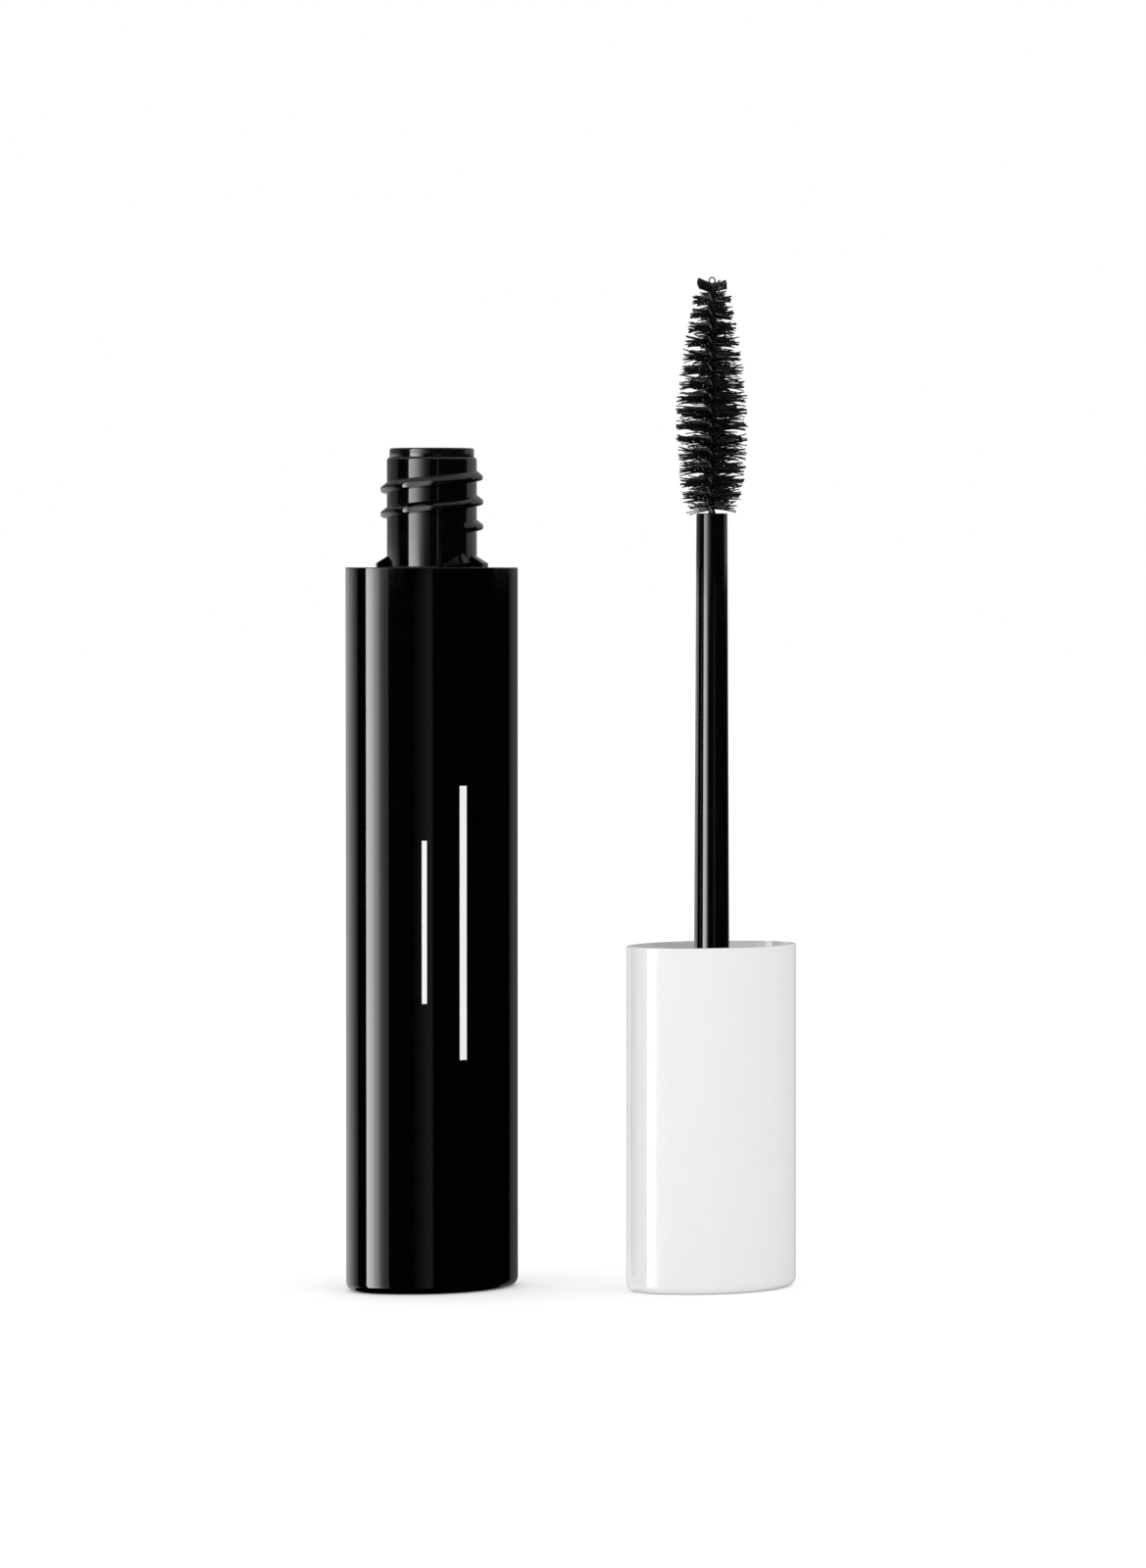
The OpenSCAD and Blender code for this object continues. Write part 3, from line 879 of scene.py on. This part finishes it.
def light_panel(name, azimuth_from, azimuth_to, z_low, z_high, strength, fade):
    """Curved upright softbox between two angles in degrees from the camera's side."""
    bm = bmesh.new()
    steps = 24
    grid = bmesh.ops.create_grid(bm, x_segments=steps, y_segments=2, size=0.5, calc_uvs=False)
    sheet = bm.loops.layers.uv.new("UVMap")
    for face in bm.faces:
        for corner in face.loops:
            corner[sheet].uv = (corner.vert.co.x + 0.5, corner.vert.co.y + 0.5)
    for v in grid["verts"]:
        azimuth = math.radians(azimuth_from + (azimuth_to - azimuth_from) * (v.co.x + 0.5))
        height = z_low + (z_high - z_low) * (v.co.y + 0.5)
        v.co = toward(azimuth) * PANEL_DISTANCE + Vector((0, 0, height))
    panel_object(name, bm, strength, fade)


def key_light():
    """Soft light from beside the camera, which rounds the white cap. It adds nothing to the gloss."""
    data = bpy.data.lights.new("key_light", "AREA")
    data.shape = "SQUARE"
    data.size = KEY_SIZE
    data.energy = KEY_WATTS
    lamp = bpy.data.objects.new("key_light", data)
    bpy.context.scene.collection.objects.link(lamp)
    way = toward(math.radians(KEY_AZIMUTH)) + Vector((0, 0, KEY_HEIGHT))
    lamp.location = way * PANEL_DISTANCE
    lamp.rotation_euler = (-way).to_track_quat("-Z", "Y").to_euler()
    lamp.visible_camera = False
    lamp.visible_glossy = False


def overhead_panel():
    """Large soft panel above the object."""
    bm = bmesh.new()
    bmesh.ops.create_grid(bm, x_segments=1, y_segments=1, size=OVERHEAD_HALF,
                          matrix=Matrix.Translation((0, 0, PANEL_DISTANCE)))
    panel_object("overhead_panel", bm, OVERHEAD_STRENGTH)


def pale_floor():
    """Matt, nearly white ground that takes a soft shadow and stays out of the gloss."""
    bm = bmesh.new()
    bmesh.ops.create_grid(bm, x_segments=1, y_segments=1, size=FLOOR_HALF,
                          matrix=Matrix.Translation((0, 0, -FLOOR_DROP)))
    mesh = bpy.data.meshes.new("floor")
    bm.to_mesh(mesh)
    bm.free()
    material = bpy.data.materials.new("pale_floor")
    material.use_nodes = True
    shader = material.node_tree.nodes["Principled BSDF"]
    shader.inputs["Base Color"].default_value = (FLOOR_TONE, FLOOR_TONE, FLOOR_TONE, 1)
    shader.inputs["Roughness"].default_value = 1.0
    shader.inputs["Specular IOR Level"].default_value = 0.0
    shader.inputs["Emission Color"].default_value = (1, 1, 1, 1)
    shader.inputs["Emission Strength"].default_value = FLOOR_GLOW
    mesh.materials.append(material)
    floor = bpy.data.objects.new("floor", mesh)
    bpy.context.scene.collection.objects.link(floor)
    floor.visible_glossy = False


def room():
    """White surroundings that light the object but don't show in its gloss."""
    world = bpy.data.worlds.new("room")
    bpy.context.scene.world = world
    world.use_nodes = True
    back = world.node_tree.nodes["Background"]
    back.inputs["Color"].default_value = (1, 1, 1, 1)
    back.inputs["Strength"].default_value = 1.0
    world.cycles_visibility.glossy = False
    bpy.context.scene.view_settings.view_transform = "Standard"


def camera():
    """Camera level with the shoulder, turned to the object's standing angle."""
    middle = Vector((CAP_AXIS.x, CAP_AXIS.y, 0)) * MM / 2 + TO_RIGHT * AIM_ASIDE
    data = bpy.data.cameras.new("camera")
    data.lens = LENS
    data.sensor_width = SENSOR_WIDTH
    data.clip_start, data.clip_end = 0.01, 20
    holder = bpy.data.objects.new("camera", data)
    bpy.context.scene.collection.objects.link(holder)
    holder.location = middle + TO_CAMERA * CAMERA_DISTANCE + Vector((0, 0, BODY_H * MM))
    aim = middle + Vector((0, 0, AIM_HEIGHT)) - holder.location
    holder.rotation_euler = aim.to_track_quat("-Z", "Y").to_euler()
    bpy.context.scene.camera = holder


sleeve()
base_closure()
threaded_vial()
wiper_insert()
printed_rules()
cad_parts["formula"].data.materials.clear()
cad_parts["formula"].data.materials.append(wet_mascara())
for beside in (cap(), cap_liner(), loose_seal(), wand_stem()):
    # Hidden from gloss, so that the bottle mirrors the studio's panels and not the cap beside it
    beside.visible_glossy = False
twisted_wire()
bristle_spiral("bristle_spiral_a", 0, 11, "bristle_row_a")
bristle_spiral("bristle_spiral_b", math.pi, 12, "bristle_row_b")
bristle_tuft()

pale_floor()
room()
light_panel("key_softbox_low", -60, -21, PANEL_FOOT, HORIZON, 12.7,
            ((0, 1.0), (0.33, 0.87), (0.56, 0.68), (0.72, 0.33), (0.79, 0.12), (0.9, 0.055), (1.0, 0.05)))
light_panel("key_softbox_high", -60, -4, HORIZON, PANEL_TOP, 8.8,
            ((0, 1.0), (0.29, 0.73), (0.46, 0.44), (0.64, 0.15), (0.82, 0.04), (1.0, 0.017)))
light_panel("back_left_low", -88, -180, PANEL_FOOT, HORIZON, 1.6,
            ((0, 0.1), (0.28, 0.9), (0.5, 1.0), (0.8, 0.45), (1.0, 0.2)))
light_panel("back_left_high", -97, -180, HORIZON, PANEL_TOP, 0.35,
            ((0, 0.8), (0.5, 1.0), (0.8, 0.9), (1.0, 0.5)))
light_panel("back_right_low", 130, 180, PANEL_FOOT, HORIZON, 0.22, ((0, 0.5), (0.2, 1.0), (1.0, 0.8)))
light_panel("back_right_high", 100, 180, HORIZON, PANEL_TOP, 0.6, ((0, 0.7), (0.1, 1.0), (1.0, 0.6)))
light_panel("side_strip", 5, 25, PANEL_FOOT, HORIZON, 0.22, ((0, 0.05), (0.5, 0.55), (0.8, 1.0), (1.0, 1.0)))
key_light()
overhead_panel()
camera()
